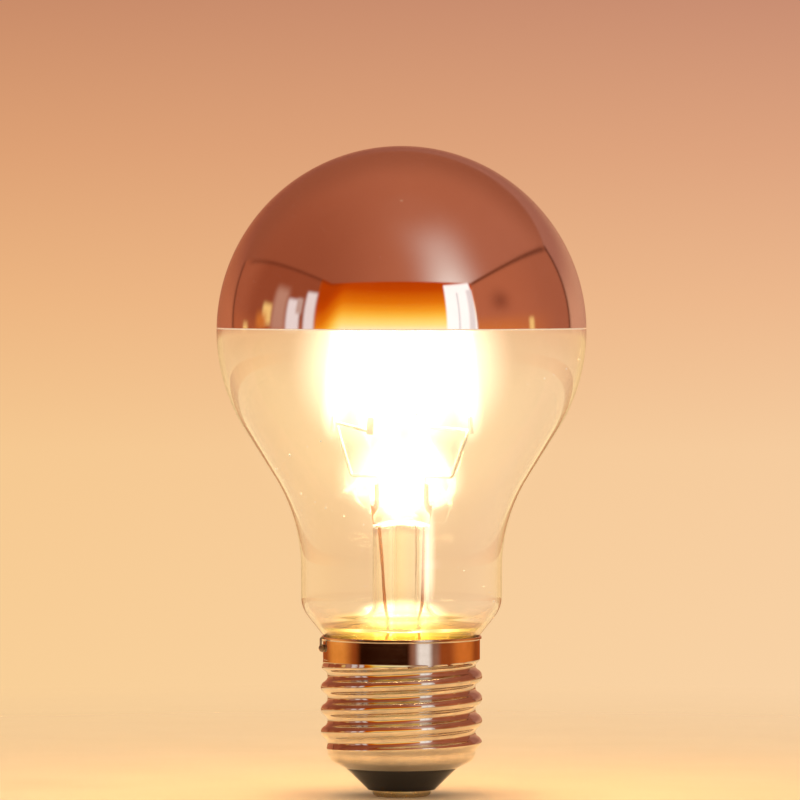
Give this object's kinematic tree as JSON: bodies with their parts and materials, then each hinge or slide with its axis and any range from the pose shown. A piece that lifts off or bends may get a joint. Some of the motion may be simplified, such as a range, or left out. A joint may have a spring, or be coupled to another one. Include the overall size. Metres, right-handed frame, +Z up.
{
  "type": "filament lamp with silvered crown",
  "caption": "Round clear glass lamp with a mirrored upper half, leaning light strips on a glass stem and a rolled screw cap with an end contact.",
  "frame": {"origin": "the middle of the end contact's lower face, at the bottom of the lamp and on its axis", "axes": "+Z runs up the lamp's axis from the contact to the crown; -Y is the side that faces the camera in the picture; +X is to the right there"},
  "size_m": [0.06, 0.06, 0.1055],
  "materials": {
    "clear_glass": "clear, blown",
    "silvering": "polished mirror film",
    "stem_glass": "clear, flame worked",
    "carrier_steel": "satin",
    "lit_phosphor": "glowing, soft",
    "support_wire": "drawn wire",
    "seal_wire": "copper clad, dulled by heat",
    "tinned_wire": "tinned",
    "cap_plating": "nickel plated, polished",
    "black_glass": "opaque black, poured",
    "contact_metal": "pressed, worn by contact",
    "solder": "dull, wetted",
    "cement": "baked, matt",
    "board_laminate": "satin laminate",
    "package_plastic": "moulded, matt",
    "can_sleeve": "shrink sleeve",
    "resistor_lacquer": "dipped lacquer"
  },
  "bodies": {
    "root": {"glass_bulb": "clear_glass", "silver_crown": "silvering", "glass_stem": "stem_glass", "exhaust_tube": "stem_glass", "centre_rod": "stem_glass", "filament_1_carrier": "carrier_steel", "filament_2_carrier": "carrier_steel", "filament_3_carrier": "carrier_steel", "filament_4_carrier": "carrier_steel", "filament_1_phosphor": "lit_phosphor", "filament_2_phosphor": "lit_phosphor", "filament_3_phosphor": "lit_phosphor", "filament_4_phosphor": "lit_phosphor", "right_lead_wire": "support_wire", "left_lead_wire": "support_wire", "top_bridge_wire_1": "support_wire", "top_bridge_wire_2": "support_wire", "right_seal_wire": "seal_wire", "left_seal_wire": "seal_wire", "right_outer_wire": "seal_wire", "left_outer_wire": "seal_wire", "side_supply_wire": "tinned_wire", "centre_supply_wire": "tinned_wire", "cap_shell": "cap_plating", "cap_insulator": "black_glass", "centre_contact": "contact_metal", "side_solder": "solder", "capping_cement": "cement", "driver_board": "board_laminate", "bridge_rectifier": "package_plastic", "driver_chip": "package_plastic", "smoothing_capacitor": "can_sleeve", "fusible_resistor": "resistor_lacquer", "chip_resistor_1": "package_plastic", "chip_resistor_2": "package_plastic", "chip_resistor_3": "package_plastic"}
  },
  "joints": []
}
